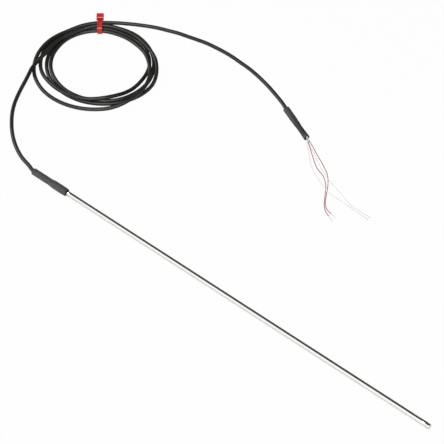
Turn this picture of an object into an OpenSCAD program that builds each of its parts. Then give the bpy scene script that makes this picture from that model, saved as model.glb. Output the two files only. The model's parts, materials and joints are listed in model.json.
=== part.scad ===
// Four-wire resistance thermometer: a straight sheathed probe with a flying lead.
//
// The sheath is a closed stainless tube packed with mineral powder. A wound platinum element
// sits in its tip, and four conductors run back from it to four crimped splices, which a
// shrunk sleeve covers where the black cable begins. The cable is wound in four turns, held
// by a moulded tie, and ends in a second shrunk sleeve and four insulated wires.
//
// Frame: +X runs along the sheath to the sensing tip and +Z is up. The probe lies on z = 0,
// and the origin is below the middle of the probe, sleeve included. Lengths in millimetres.

/* [Sheath] */
// Outside diameter of the sheath
sheath_d = 6; // [5.5:0.1:8]
// Wall thickness of the sheath tube
sheath_wall = 0.7; // [0.5:0.05:0.8]
// Length from the sleeve's mouth to the end of the tip
sheath_exposed = 500; // [150:10:1000]
// Radius at the edge of the welded tip
tip_edge_r = 1.6; // [0.8:0.1:2.2]
// Height of the crown on the face of the tip
tip_crown = 0.3; // [0.1:0.05:0.5]
// Diameter of the weld crater in the middle of the tip
crater_d = 0.9; // [0.5:0.1:1.4]
// Depth of the weld crater
crater_depth = 0.25; // [0.1:0.05:0.4]
// Length of the end plug's spigot in the tube
spigot_l = 3; // [2:0.5:6]
// Depth of the band ground into the sheath where the sleeve is bonded to it
bond_depth = 0.2; // [0.18:0.01:0.3]
// Length of that band that shows past the sleeve's mouth
bond_showing = 0.5; // [0.3:0.1:1]

/* [Conductors and powder] */
// Diameter of each conductor in the sheath
conductor_d = 0.6; // [0.4:0.05:0.8]
// Distance between neighbouring conductors, which stand in a square
conductor_pitch = 2; // [1.9:0.05:2.2]
// Depth of the epoxy seal in the back of the sheath
seal_depth = 5; // [3:0.5:8]
// Height of the epoxy bead that stands out of the sheath
seal_bead = 0.8; // [0.4:0.1:1.2]

/* [Sensing element] */
// Diameter of the ceramic body
element_d = 2.8; // [2.6:0.1:3.2]
// Length of the ceramic body
element_l = 25; // [15:1:35]
// Bore of each of the two channels in the body
channel_d = 0.8; // [0.7:0.05:0.9]
// Distance between the two channels
channel_pitch = 1.5; // [1.4:0.05:1.6]
// Outside diameter of the platinum winding
winding_d = 0.66; // [0.5:0.02:0.68]
// Thickness of the glaze on each end of the body
glaze_t = 0.6; // [0.4:0.1:1]
// Diameter of each of the element's own leads
element_lead_d = 0.3; // [0.2:0.05:0.4]
// Length of each of those leads, from the glaze to the weld strip
element_lead_l = 6; // [3:0.5:10]
// Length of the strips that weld each lead to two conductors
strip_l = 1.2; // [0.8:0.1:2]
// Thickness of those strips
strip_t = 0.8; // [0.6:0.05:1]
// Powder between the element and the end plug
tip_gap = 1.5; // [0.5:0.5:4]
// Powder between the strips and the end of the mineral core
tail_gap = 3; // [1:0.5:6]

/* [Transition sleeve] */
// Length of the shrunk sleeve between cable and sheath
sleeve_l = 52; // [48:1:80]
// Wall of the sleeve after shrinking
sleeve_wall = 1.7; // [1:0.1:2]
// Wall of the sleeve over the splices, where it has shrunk least
splice_wall = 1.8; // [1.2:0.05:2]
// Length of cable jacket held in the sleeve
jacket_grip = 9; // [6:0.5:14]
// Length of sheath held in the sleeve
sheath_grip = 22; // [14:0.5:25]
// How much the wall thins towards the mouth
mouth_thinning = 0.25; // [0.1:0.05:0.4]
// Bevel on the sleeve's two cut ends
sleeve_bevel = 0.25; // [0.1:0.05:0.4]

/* [Splices] */
// Outside diameter of each crimped barrel
barrel_d = 1.3; // [1.1:0.05:1.4]
// Length of each barrel
barrel_l = 6; // [4:0.5:8]
// Depth of the two crimp dents in each barrel
crimp_depth = 0.15; // [0.05:0.05:0.2]
// Wall of the insulating tube on each splice
insulator_wall = 0.15; // [0.1:0.01:0.16]
// Length of the insulating tube
insulator_l = 9; // [6.5:0.5:12]
// Bare length of each cable core in its barrel
core_strip = 2.6; // [2:0.2:4]

/* [Cable] */
// Diameter of the cable jacket
cable_d = 4.7; // [4:0.1:5]
// Diameter of each insulated wire of the cable
wire_d = 0.9; // [0.7:0.05:1]
// Diameter of the tinned strands in each wire
strand_d = 0.5; // [0.3:0.05:0.6]
// Distance between the wires where they leave the jacket
wire_pitch = 1.1; // [1.05:0.05:1.3]
// Length of bare strands at the end of each wire
bare_l = 9; // [5:1:12]

/* [Coil] */
// Outside diameter of the coil
coil_d = 162; // [156:1:164]
// Width of the band of turns, measured along a radius
coil_band = 28; // [24:1:30]
// Height of the pile of turns
coil_h = 10.5; // [8:0.5:14]
// Strands side by side under the tie
tie_strands = 3; // [3:1:4]
// Layers of strands under the tie
tie_layers = 2; // [2:1:3]
// Radius of the coil at the inner face of the tied bundle
bundle_r = 59.8; // [58:0.2:62]

/* [Cable tie] */
// Width of the strap
strap_w = 5.8; // [4.8:0.2:6]
// Thickness of the strap
strap_t = 1.2; // [1:0.1:1.6]
// Width of the two raised edges of the strap
rail_w = 0.9; // [0.6:0.1:1.2]
// Depth of the toothed track between them
track_depth = 0.3; // [0.2:0.05:0.4]
// Distance between the teeth in the track
tooth_pitch = 1.5; // [1.2:0.1:2]
// Width of the head
head_w = 8.8; // [7.6:0.2:10]
// Length of the head along the strap
head_l = 8.6; // [7.5:0.2:10]
// Thickness of the head
head_t = 5.4; // [4.5:0.1:6.5]
// Length of the cut end that stands out of the head
cut_end = 1; // [0.5:0.25:3]

/* [End sleeve] */
// Length of the shrunk sleeve at the wire end of the cable
end_sleeve_l = 54; // [48:1:80]
// Wall of that sleeve after shrinking
end_sleeve_wall = 1.6; // [1.1:0.1:1.8]
// Length of jacket held in it
end_grip = 27; // [20:1:32]
// Radius of its bore where it has shrunk onto the wires
waist_r = 1.75; // [1.6:0.05:1.9]
// How far the mouth flares out past the waist
mouth_flare = 0.8; // [0.4:0.1:1]

/* [Fits] */
// Gap all round between pieces that are packed or shrunk on
seat_gap = 0.05; // [0.03:0.01:0.08]

/* [Hidden] */
$fn = 64;
sheath_r = sheath_d / 2;
bore_r = sheath_r - sheath_wall;
bond_r = sheath_r - bond_depth;
cable_r = cable_d / 2;
wire_r = wire_d / 2;
pin_offset = conductor_pitch / 2;
CORNERS = [[1, 1], [-1, 1], [-1, -1], [1, -1]];

// Stations along the probe, from the cable end to the tip
probe_l = sleeve_l + sheath_exposed;
axis_z = sheath_r + sleeve_wall;
gland_x = -probe_l / 2;
mouth_x = gland_x + sleeve_l;
tip_x = probe_l / 2;
jacket_x = gland_x + jacket_grip;
sheath_back_x = mouth_x - sheath_grip;
tip_l = tip_edge_r + tip_crown;
weld_x = tip_x - tip_l;
plug_back_x = weld_x - spigot_l;
element_front_x = plug_back_x - tip_gap;
element_back_x = element_front_x - element_l;
strip_front_x = element_back_x - element_lead_l;
strip_back_x = strip_front_x - strip_l;
powder_back_x = strip_back_x - tail_gap;
core_back_x = sheath_back_x + seal_depth;

// Stations of the splices, which sit midway between jacket and sheath
splice_x = (jacket_x + sheath_back_x - seal_bead) / 2;
barrel_back_x = splice_x - barrel_l / 2;
barrel_front_x = splice_x + barrel_l / 2;
barrel_bore_r = conductor_d / 2 + seat_gap;
insulator_r = barrel_d / 2 + seat_gap + insulator_wall;
splice_group_r = pin_offset * sqrt(2) + insulator_r + seat_gap;
sleeve_waist_r = pin_offset * sqrt(2) + conductor_d / 2 + 3 * seat_gap;

// Frame of the end sleeve: where its cable end lies, and which way it points
end_sleeve_at = [-122, 267.5];
end_sleeve_turn = -25;
end_mouth_r = waist_r + mouth_flare;
end_axis_z = end_mouth_r + end_sleeve_wall;

// Coil and tied bundle, in the section across the bundle
coil_at = [-347.5, 181];
tie_turn = 130;
neck_half = 8;
coil_r = coil_d / 2;
bundle_w = tie_strands * cable_d + 0.4;
bundle_h = tie_layers * cable_d + 0.2;
bundle_z = strap_t + seat_gap;
strap_slack = 0.6;

// Route of the cable from the sleeve to the coil: [x, y, height of the underside]
TAIL_ROUTE = [
    [-289, 4, 1.6], [-301.5, 7.5, 0.6], [-313.5, 12.5, 0], [-325.5, 19, 0], [-336, 26, 0],
    [-346, 34, 0], [-355, 42.5, 0], [-363.5, 51.5, 0], [-371, 61, 0], [-377.5, 71, 0],
    [-383.5, 82, 0], [-389, 93.5, 0], [-393.5, 105, 0], [-396.5, 113, 0]
];
// Route of the cable from the coil to the end sleeve
LEAD_ROUTE = [
    [-362, 263.5, 3.3], [-354.5, 268.5, 2.6], [-346, 274, 1.8], [-335, 280, 0.8],
    [-323, 285, 0.1], [-311, 289.5, 0], [-298, 292.5, 0], [-285, 295.5, 0],
    [-271.5, 298, 0], [-258.5, 299, 0], [-245, 299.5, 0], [-231.5, 299, 0],
    [-218, 297.5, 0], [-204.5, 296, 0], [-191, 293.5, 0], [-177.5, 290, 0],
    [-164.5, 286, 0], [-151.5, 281, 0.3], [-140.5, 276.5, 0.9], [-130.5, 272, 1.5]
];
// Routes of the four wires past the end sleeve's mouth
RED_1_ROUTE = [
    [-62, 240, 2.9], [-49, 233, 1.1], [-34, 225, 0], [-20, 215.5, 0],
    [-9.5, 203, 0], [-1, 189, 0], [7.5, 176.5, 0], [13.5, 172, 0], [20.5, 170, 0]
];
RED_2_ROUTE = [
    [-65, 238.5, 2.6], [-52, 228.5, 0.7], [-35, 216, 0], [-22, 210.5, 0],
    [-11.5, 201.5, 0], [-3, 189.5, 0], [7, 175, 0], [13.5, 169, 0], [20.5, 165.5, 0]
];
WHITE_1_ROUTE = [
    [-63.5, 238.5, 1.6], [-50, 230.5, 0.8], [-37, 222, 0.5], [-25, 215, 0.6],
    [-15, 210, 1.2], [-5.5, 206.5, 0.5], [9.5, 202, 0], [28.5, 195, 0], [49.5, 193.5, 0]
];
WHITE_2_ROUTE = [
    [-66, 237, 1.5], [-54, 225, 0.3], [-39, 212, 0], [-25, 204, 0],
    [-12.5, 197.5, 0.6], [-5.5, 194.5, 1.3], [1.5, 193, 0.6], [19.5, 192.5, 0], [48.5, 190, 0]
];

// ---- Functions ----

// Moves a list of [x, y, underside] points up by the cord's radius
function lifted(route, radius) = [for (p = route) [p[0], p[1], p[2] + radius]];

// A point of the end sleeve's own frame, u along it and v to its left, in the part's frame
function from_end_sleeve(u, v, z) = [
    end_sleeve_at[0] + u * cos(end_sleeve_turn) - v * sin(end_sleeve_turn),
    end_sleeve_at[1] + u * sin(end_sleeve_turn) + v * cos(end_sleeve_turn),
    z
];

function unit(v) = v / norm(v);

// Direction of a route at point i: along its first or last leg, or the mean of two legs
function heading(route, i) =
    let (last = len(route) - 1)
    i == 0 ? unit(route[1] - route[0])
    : i == last ? unit(route[last] - route[last - 1])
    : unit(unit(route[i + 1] - route[i]) + unit(route[i] - route[i - 1]));

// One ring of a round cord, square to its direction
function ring(centre, direction, radius, sides) =
    let (side = unit(cross([0, 0, 1], direction)), top = cross(direction, side))
    [for (k = [0 : sides - 1])
        let (a = 360 * (k + 0.5) / sides)
        centre + radius * (cos(a) * side + sin(a) * top)];

// Radius part of the way between two stations, easing out of one and into the next
function eased(a, b, t) = a + (b - a) * (1 - cos(180 * t)) / 2;

// Outline through [x, r] stations, with a few short steps on each stretch that changes radius
function blended(stations, steps = 5) = [
    for (i = [0 : len(stations) - 2])
        let (a = stations[i], b = stations[i + 1], n = abs(a[1] - b[1]) > 0.001 ? steps : 1)
        for (k = [0 : n - 1])
            [a[0] + (b[0] - a[0]) * k / n, eased(a[1], b[1], k / n)],
    stations[len(stations) - 1]
];

function reversed(list) = [for (i = [len(list) - 1 : -1 : 0]) list[i]];

// Whole routes, from one cut end of each solid to the other
tail_path = concat(
    [[jacket_x, 0, axis_z], [gland_x, 0, axis_z]], lifted(TAIL_ROUTE, cable_r));
lead_path = concat(
    lifted(LEAD_ROUTE, cable_r),
    [from_end_sleeve(0, 0, end_axis_z), from_end_sleeve(end_grip, 0, end_axis_z)]);
function wire_path(route, v, w) = concat(
    [
        from_end_sleeve(end_grip, v * wire_pitch / 2, end_axis_z + w * wire_pitch / 2),
        from_end_sleeve(end_sleeve_l, v * wire_pitch / 2, end_axis_z + w * wire_pitch / 2)
    ],
    lifted(route, wire_r));
red_1_path = wire_path(RED_1_ROUTE, 1, 1);
red_2_path = wire_path(RED_2_ROUTE, -1, 1);
white_1_path = wire_path(WHITE_1_ROUTE, 1, -1);
white_2_path = wire_path(WHITE_2_ROUTE, -1, -1);

// Bore of the transition sleeve, and its outside, as [x, r] stations
sleeve_bore = [
    [gland_x, cable_r + seat_gap], [jacket_x, cable_r + seat_gap],
    [jacket_x + 2, splice_group_r], [splice_x + insulator_l / 2 + 0.5, splice_group_r],
    [sheath_back_x - 3, sleeve_waist_r], [sheath_back_x - 1, bond_r + seat_gap],
    [mouth_x, bond_r + seat_gap]
];
sleeve_skin = [
    [gland_x, cable_r + sleeve_wall - sleeve_bevel],
    [gland_x + sleeve_bevel, cable_r + sleeve_wall],
    [jacket_x - 1, cable_r + sleeve_wall],
    [jacket_x + 4, splice_group_r + splice_wall],
    [splice_x, splice_group_r + splice_wall],
    [sheath_back_x - 5, (sleeve_waist_r + splice_group_r) / 2 + splice_wall],
    [sheath_back_x + 3, sheath_r + sleeve_wall],
    [mouth_x - 5, sheath_r + sleeve_wall],
    [mouth_x - sleeve_bevel, sheath_r + sleeve_wall - mouth_thinning],
    [mouth_x, sheath_r + sleeve_wall - mouth_thinning - sleeve_bevel]
];

// ---- Shapes used by several pieces ----

// Lays what was drawn along +Z out along +X, on the probe's axis
module on_axis() {
    translate([0, 0, axis_z]) rotate([0, 90, 0]) children();
}

// A rod on the probe's axis, or beside it by [y, z], from one station to another
module rod(from_x, to_x, r, beside = [0, 0]) {
    translate([from_x, beside[0], axis_z + beside[1]]) rotate([0, 90, 0])
        cylinder(r = r, h = to_x - from_x);
}

// The same four times, once for each corner of the square of conductors
module four_rods(from_x, to_x, r) {
    for (c = CORNERS) rod(from_x, to_x, r, c * pin_offset);
}

// A turned shell between two [x, r] outlines
module shell(outer, inner) {
    outline = concat(outer, reversed(inner));
    rotate_extrude() polygon([for (p = outline) [p[1], p[0]]]);
}

// A cord swept along its path, with a flat face at each end
module cord(path, diameter, sides) {
    n = len(path);
    rings = [for (i = [0 : n - 1]) ring(path[i], heading(path, i), diameter / 2, sides)];
    points = [for (r = rings) for (p = r) p];
    walls = [
        for (i = [0 : n - 2]) for (k = [0 : sides - 1])
            let (a = i * sides + k, b = i * sides + (k + 1) % sides)
            each [[a, b + sides, b], [a, a + sides, b + sides]]
    ];
    start_cap = [for (k = [0 : sides - 1]) k];
    end_cap = [for (k = [sides - 1 : -1 : 0]) (n - 1) * sides + k];
    polyhedron(points, concat([start_cap, end_cap], walls));
}

// A round rod that carries a path on past one of its ends, face to face with it
module stub(at, direction, length, r) {
    flat = norm([direction[0], direction[1]]);
    translate(at) rotate([0, atan2(flat, direction[2]), atan2(direction[1], direction[0])])
        cylinder(r = r, h = length);
}

// A rectangle with round corners, from its low corner
module rounded_box_2d(size, r) {
    for (x = [r, size[0] - r]) for (y = [r, size[1] - r]) translate([x, y]) circle(r = r);
    translate([r, 0]) square([size[0] - 2 * r, size[1]]);
    translate([0, r]) square([size[0], size[1] - 2 * r]);
}

// ---- Probe ----

// A plain tube, ground back a little where the sleeve is bonded to it
module sheath() {
    bond_end_x = mouth_x + bond_showing;
    color("silver") difference() {
        union() {
            rod(sheath_back_x, bond_end_x, bond_r);
            rod(bond_end_x, weld_x, sheath_r);
        }
        rod(sheath_back_x - 1, weld_x + 1, bore_r);
    }
}

// Closes the tube: a spigot, a rounded edge, a low crown and the crater where the weld ended
module end_plug() {
    face_r = sheath_r - tip_edge_r;
    edge = [for (a = [0 : 10 : 90])
        [face_r + tip_edge_r * cos(a), weld_x + tip_edge_r * sin(a)]];
    crown = [for (t = [0.25 : 0.25 : 0.75])
        [eased(face_r, crater_d / 2, t), weld_x + tip_edge_r + eased(0, tip_crown, t)]];
    crater = [for (a = [0 : 15 : 90])
        [crater_d / 2 * cos(a), tip_x - crater_depth * sin(a)]];
    spigot = [
        [0, plug_back_x], [bore_r - seat_gap, plug_back_x], [bore_r - seat_gap, weld_x]
    ];
    color("gainsboro") on_axis()
        rotate_extrude() polygon(concat(spigot, edge, crown, crater));
}

module mineral_core() {
    color("white") difference() {
        rod(core_back_x, powder_back_x, bore_r - seat_gap);
        four_rods(core_back_x - 1, powder_back_x + 1, conductor_d / 2 + seat_gap);
    }
}

// Powder packed round the element, its leads and the ends of the conductors
module tip_powder() {
    color("ivory") difference() {
        rod(powder_back_x, plug_back_x, bore_r - seat_gap);
        rod(element_back_x - glaze_t - seat_gap, element_front_x + seat_gap,
            element_d / 2 + seat_gap);
        four_rods(powder_back_x - 1, strip_back_x, conductor_d / 2 + seat_gap);
        for (side = [-1, 1]) {
            strip_block(side, seat_gap);
            rod(strip_front_x - 1, element_back_x, element_lead_d / 2 + seat_gap,
                [side * channel_pitch / 2, 0]);
        }
    }
}

module conductor(corner) {
    color("lightsteelblue")
        rod(splice_x + 0.2, strip_back_x, conductor_d / 2, corner * pin_offset);
}

// Epoxy in the back of the sheath, with a low bead round the conductors
module back_seal() {
    bead_r = bore_r - seat_gap;
    color("darkgoldenrod") difference() {
        union() {
            rod(sheath_back_x, core_back_x, bead_r);
            rod(sheath_back_x - seal_bead / 2, sheath_back_x, bead_r);
            rod(sheath_back_x - seal_bead, sheath_back_x - seal_bead / 2, bead_r - 0.3);
        }
        four_rods(sheath_back_x - seal_bead - 1, core_back_x + 1,
            conductor_d / 2 + seat_gap);
    }
}

// ---- Sensing element ----

// A ceramic rod with two channels and, across its front, the slot where the winding turns back
module element_body() {
    color("whitesmoke") difference() {
        rod(element_back_x, element_front_x - glaze_t, element_d / 2);
        for (side = [-1, 1])
            rod(element_back_x - 1, element_front_x, channel_d / 2,
                [side * channel_pitch / 2, 0]);
        translate([element_front_x - glaze_t - channel_d, -channel_pitch / 2,
                   axis_z - channel_d / 2])
            cube([channel_d + 1, channel_pitch, channel_d]);
    }
}

// The envelope of the fine coil: up one channel, across the slot and back down the other
module platinum_winding() {
    turn_x = element_front_x - glaze_t - channel_d / 2;
    color("lightslategray") union() {
        for (side = [-1, 1])
            rod(element_back_x, turn_x, winding_d / 2, [side * channel_pitch / 2, 0]);
        translate([turn_x, channel_pitch / 2, axis_z]) rotate([90, 0, 0])
            cylinder(r = winding_d / 2, h = channel_pitch);
        for (side = [-1, 1])
            translate([turn_x, side * channel_pitch / 2, axis_z])
                sphere(r = winding_d / 2);
    }
}

module rear_glaze() {
    color("khaki") difference() {
        rod(element_back_x - glaze_t, element_back_x, element_d / 2);
        for (side = [-1, 1])
            rod(element_back_x - glaze_t - 1, element_back_x + 1,
                element_lead_d / 2 + seat_gap, [side * channel_pitch / 2, 0]);
    }
}

module front_glaze() {
    color("khaki") rod(element_front_x - glaze_t, element_front_x, element_d / 2);
}

module element_lead(side) {
    color("lightslategray")
        rod(strip_front_x, element_back_x, element_lead_d / 2,
            [side * channel_pitch / 2, 0]);
}

// Block of one weld strip, grown by a gap where it is cut out of the powder
module strip_block(side, gap) {
    inner = channel_pitch / 2 - element_lead_d;
    outer = pin_offset + conductor_d / 2 - 0.1;
    low = side > 0 ? inner : -outer;
    height = conductor_pitch + conductor_d - 0.2;
    translate([strip_back_x - gap, low - gap, axis_z - height / 2 - gap])
        cube([strip_l + 2 * gap, outer - inner + 2 * gap, height + 2 * gap]);
}

module weld_strip(side) {
    color("slategray") strip_block(side, 0);
}

// ---- Splices in the transition sleeve ----

// A barrel crimped twice, once on the conductor and once on the cable's core
module splice(corner) {
    color("peru") translate([0, corner[0] * pin_offset, axis_z + corner[1] * pin_offset])
        difference() {
            translate([barrel_back_x, 0, 0]) rotate([0, 90, 0])
                cylinder(r = barrel_d / 2, h = barrel_l);
            translate([barrel_back_x - 1, 0, 0]) rotate([0, 90, 0])
                cylinder(r = barrel_bore_r, h = barrel_l + 2);
            for (x = [splice_x - barrel_l / 4, splice_x + barrel_l / 4])
                translate([x, 0, barrel_d / 2 + 0.5 - crimp_depth]) rotate([90, 0, 0])
                    cylinder(r = 0.5, h = barrel_d, center = true);
        }
}

module insulator(corner) {
    color("khaki") difference() {
        rod(splice_x - insulator_l / 2, splice_x + insulator_l / 2, insulator_r,
            corner * pin_offset);
        rod(splice_x - insulator_l / 2 - 1, splice_x + insulator_l / 2 + 1,
            barrel_d / 2 + seat_gap, corner * pin_offset);
    }
}

// The end of one cable core: insulated up to its barrel, and bare strands in it
module core(corner) {
    shade = corner[1] > 0 ? "red" : "white";
    color(shade) union() {
        rod(jacket_x, barrel_back_x, wire_r, corner * pin_offset);
        rod(barrel_back_x, barrel_back_x + core_strip, strand_d / 2, corner * pin_offset);
    }
}

// Melted lining of the sleeve, which fills the space round the splices
module sleeve_adhesive() {
    filled = [for (s = sleeve_bore)
        if (s[0] > jacket_x && s[0] < sheath_back_x) [s[0], s[1] - seat_gap]];
    wall = concat([[jacket_x, cable_r]], filled,
        [[sheath_back_x - seal_bead - seat_gap, bond_r]]);
    color("saddlebrown") difference() {
        on_axis() shell(blended(wall),
            [[jacket_x, 0], [sheath_back_x - seal_bead - seat_gap, 0]]);
        four_rods(jacket_x - 1, sheath_back_x, wire_r + seat_gap);
        four_rods(splice_x - insulator_l / 2 - seat_gap,
            splice_x + insulator_l / 2 + seat_gap, insulator_r + seat_gap / 2);
    }
}

module transition_sleeve() {
    color("dimgray") on_axis() shell(blended(sleeve_skin), blended(sleeve_bore));
}

// ---- Cable ----

module cable_tail() {
    color("black") cord(tail_path, cable_d, 10);
}

module cable_lead() {
    color("black") cord(lead_path, cable_d, 10);
}

// Outer shape of the wound turns: a thick ring, drawn in to a narrow bundle under the tie,
// with a short stub where each end of the cable leaves it
module cable_coil() {
    tail_end = tail_path[len(tail_path) - 1];
    tail_on = heading(tail_path, len(tail_path) - 1);
    lead_start = lead_path[0];
    lead_back = -heading(lead_path, 0);
    color("black") union() {
        translate([coil_at[0], coil_at[1], 0]) {
            rotate([0, 0, tie_turn + neck_half]) rotate_extrude(angle = 360 - 2 * neck_half)
                translate([coil_r - coil_band, 0])
                    rounded_box_2d([coil_band, coil_h], cable_r);
            rotate([0, 0, tie_turn - neck_half]) rotate_extrude(angle = 2 * neck_half)
                translate([bundle_r, bundle_z])
                    rounded_box_2d([bundle_w, bundle_h], cable_r);
        }
        stub(tail_end, tail_on, 12, cable_r);
        stub(lead_start, lead_back, 14, cable_r);
    }
}

// ---- Cable tie ----

// One moulding: the strap passes round the bundle and up through a slot in its own head
module cable_tie() {
    color("red") translate([coil_at[0], coil_at[1], 0]) rotate([0, 0, tie_turn])
        rotate([90, 0, 0]) {
            difference() {
                strap_band(strap_w);
                difference() {
                    strap_band(strap_w - 2 * rail_w);
                    strap_core();
                }
            }
            track_teeth();
            tie_head();
        }
}

// Inner face of the strap, in the section across the bundle
strap_in = bundle_r - strap_slack;
strap_out = bundle_r + bundle_w + seat_gap;
strap_top = bundle_z + bundle_h + seat_gap;
strap_corner = cable_r;
head_back = strap_out - 0.8;
slot_gap = 0.15;

// The strap as a loop round the bundle, in the section across it, of a given thickness
module strap_loop_2d(t) {
    difference() {
        translate([strap_in - t, bundle_z - seat_gap - t])
            rounded_box_2d([strap_out - strap_in + 2 * t,
                strap_top - bundle_z + seat_gap + 2 * t], strap_corner + t);
        translate([strap_in, bundle_z - seat_gap])
            rounded_box_2d([strap_out - strap_in, strap_top - bundle_z + seat_gap],
                strap_corner);
        // Open at the outer top corner, where the two ends meet in the head
        translate([head_back, strap_top - strap_corner - t])
            square([strap_corner + 3 * t, strap_corner + 3 * t]);
    }
    // The free end runs straight up through the head, and is cut off above it
    translate([strap_out, strap_top - strap_corner - t])
        square([t, strap_corner + t + head_t + cut_end]);
}

module strap_band(width) {
    linear_extrude(width, center = true) strap_loop_2d(strap_t);
}

// What is left of the strap under its track
module strap_core() {
    linear_extrude(strap_w, center = true) strap_loop_2d(strap_t - track_depth);
}

// Teeth across the track, on the top run and the inner run of the loop
module track_teeth() {
    tooth_w = strap_w - 2 * rail_w;
    tooth_l = tooth_pitch * 0.4;
    top_run = head_back - strap_in - strap_corner;
    side_run = strap_top - bundle_z - 2 * strap_corner;
    for (i = [0 : floor(top_run / tooth_pitch) - 1])
        translate([strap_in + strap_corner + i * tooth_pitch,
                   strap_top + strap_t - track_depth - 0.05, -tooth_w / 2])
            cube([tooth_l, track_depth + 0.05, tooth_w]);
    for (i = [0 : floor(side_run / tooth_pitch)])
        translate([strap_in - strap_t, bundle_z + strap_corner + i * tooth_pitch,
                   -tooth_w / 2])
            cube([track_depth + 0.05, tooth_l, tooth_w]);
}

// The head: a bevelled block with a slot, a pawl that reaches for the teeth, and a lead-in
module tie_head() {
    bevel = 0.8;
    head_front = head_back + head_l;
    profile = [
        [head_back, strap_top], [head_front - bevel, strap_top],
        [head_front, strap_top + bevel], [head_front, strap_top + head_t - bevel],
        [head_front - bevel, strap_top + head_t],
        [head_back + bevel, strap_top + head_t], [head_back, strap_top + head_t - bevel]
    ];
    slot_near = strap_out - slot_gap;
    slot_far = strap_out + strap_t + slot_gap;
    difference() {
        linear_extrude(head_w, center = true) polygon(profile);
        translate([slot_near, strap_top - 1, -strap_w / 2 - slot_gap])
            cube([slot_far - slot_near, head_t + 2, strap_w + 2 * slot_gap]);
        // Room behind the pawl, so that it can bend away from the strap
        translate([slot_far + 1.2, strap_top + 1.2, -strap_w / 2 + rail_w])
            cube([1.2, head_t, strap_w - 2 * rail_w]);
    }
}

// ---- End sleeve and wires ----

end_sleeve_bore = [
    [0, cable_r + seat_gap], [end_grip, cable_r + seat_gap], [end_grip + 4, waist_r],
    [end_sleeve_l - 9, waist_r], [end_sleeve_l - sleeve_bevel, end_mouth_r],
    [end_sleeve_l, end_mouth_r + sleeve_bevel]
];
end_sleeve_skin = [
    [0, cable_r + end_sleeve_wall - sleeve_bevel],
    [sleeve_bevel, cable_r + end_sleeve_wall],
    [end_grip - 5, cable_r + end_sleeve_wall], [end_grip + 4, waist_r + end_sleeve_wall],
    [end_sleeve_l - 10, waist_r + end_sleeve_wall],
    [end_sleeve_l - 2, end_mouth_r + end_sleeve_wall - 0.1],
    [end_sleeve_l - 1, end_mouth_r + end_sleeve_wall],
    [end_sleeve_l, end_mouth_r + end_sleeve_wall - 0.5]
];

module end_sleeve() {
    color("dimgray")
        translate([end_sleeve_at[0], end_sleeve_at[1], end_axis_z])
            rotate([0, 0, end_sleeve_turn]) rotate([0, 90, 0])
                shell(blended(end_sleeve_skin), blended(end_sleeve_bore));
}

module wire(path, shade) {
    color(shade) cord(path, wire_d, 8);
}

// The stripped end of a wire: tinned strands that go straight on
module bare_end(path) {
    last = len(path) - 1;
    color("silver") stub(path[last], heading(path, last), bare_l, strand_d / 2);
}

// ---- One line for each piece ----

sheath();
end_plug();
mineral_core();
tip_powder();
conductor(CORNERS[0]);  // conductor_1
conductor(CORNERS[1]);  // conductor_2
conductor(CORNERS[2]);  // conductor_3
conductor(CORNERS[3]);  // conductor_4
back_seal();
element_body();
platinum_winding();
rear_glaze();
front_glaze();
element_lead(1);  // element_lead_1
element_lead(-1);  // element_lead_2
weld_strip(1);  // weld_strip_1
weld_strip(-1);  // weld_strip_2
splice(CORNERS[0]);  // splice_1
splice(CORNERS[1]);  // splice_2
splice(CORNERS[2]);  // splice_3
splice(CORNERS[3]);  // splice_4
insulator(CORNERS[0]);  // insulator_1
insulator(CORNERS[1]);  // insulator_2
insulator(CORNERS[2]);  // insulator_3
insulator(CORNERS[3]);  // insulator_4
core(CORNERS[0]);  // core_1
core(CORNERS[1]);  // core_2
core(CORNERS[2]);  // core_3
core(CORNERS[3]);  // core_4
sleeve_adhesive();
transition_sleeve();
cable_tail();
cable_coil();
cable_lead();
cable_tie();
end_sleeve();
wire(red_1_path, "red");  // red_wire_1
wire(red_2_path, "red");  // red_wire_2
wire(white_1_path, "white");  // white_wire_1
wire(white_2_path, "white");  // white_wire_2
bare_end(red_1_path);  // red_end_1
bare_end(red_2_path);  // red_end_2
bare_end(white_1_path);  // white_end_1
bare_end(white_2_path);  // white_end_2
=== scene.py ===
"""Looks of a straight sheathed resistance thermometer with a coiled lead, in its CAD frame.

Lengths in the helpers and route points are in millimetres and become metres where a mesh is made.
"""

import json
import math

import bmesh
import bpy
import numpy as np
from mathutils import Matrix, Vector, noise


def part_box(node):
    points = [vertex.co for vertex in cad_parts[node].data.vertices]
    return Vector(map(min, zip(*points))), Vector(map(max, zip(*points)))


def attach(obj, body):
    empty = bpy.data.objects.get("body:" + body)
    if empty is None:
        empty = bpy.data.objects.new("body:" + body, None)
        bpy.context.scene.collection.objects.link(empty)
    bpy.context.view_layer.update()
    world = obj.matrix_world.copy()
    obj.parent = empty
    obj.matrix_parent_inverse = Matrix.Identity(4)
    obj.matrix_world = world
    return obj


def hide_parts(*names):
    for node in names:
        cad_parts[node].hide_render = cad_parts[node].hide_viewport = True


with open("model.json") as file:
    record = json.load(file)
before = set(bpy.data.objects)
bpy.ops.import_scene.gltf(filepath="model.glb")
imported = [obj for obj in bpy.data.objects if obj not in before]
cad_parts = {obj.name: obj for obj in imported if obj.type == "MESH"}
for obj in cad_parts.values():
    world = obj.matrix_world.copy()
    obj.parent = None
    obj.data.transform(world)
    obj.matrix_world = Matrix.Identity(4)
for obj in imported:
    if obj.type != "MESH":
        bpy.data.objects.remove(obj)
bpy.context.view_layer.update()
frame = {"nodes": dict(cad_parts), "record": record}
MM = 0.001

# ---- Camera, lights and floor ----

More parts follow.
